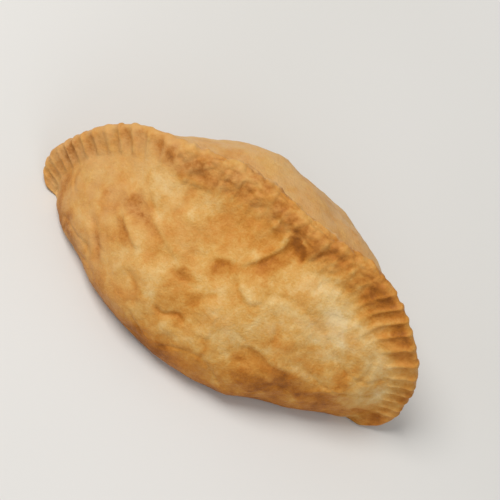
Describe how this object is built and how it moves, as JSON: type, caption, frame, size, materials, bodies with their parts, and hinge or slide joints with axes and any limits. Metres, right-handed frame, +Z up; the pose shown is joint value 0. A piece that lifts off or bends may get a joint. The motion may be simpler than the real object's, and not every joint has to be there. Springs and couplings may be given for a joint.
{
  "type": "cornish pasty",
  "caption": "Baked half-moon pasty with a finger-crimped seam over the top and pinched tails, standing on its flat base.",
  "frame": {"origin": "middle of the bounding box, on the surface that the base rests on", "axes": "+X along the pasty from tail to tail, +Y towards the side that the crimp tips over to, +Z up"},
  "size_m": [0.1484, 0.083, 0.057],
  "materials": {
    "crust": "satin"
  },
  "bodies": {
    "root": {"pasty": "crust"}
  },
  "joints": []
}
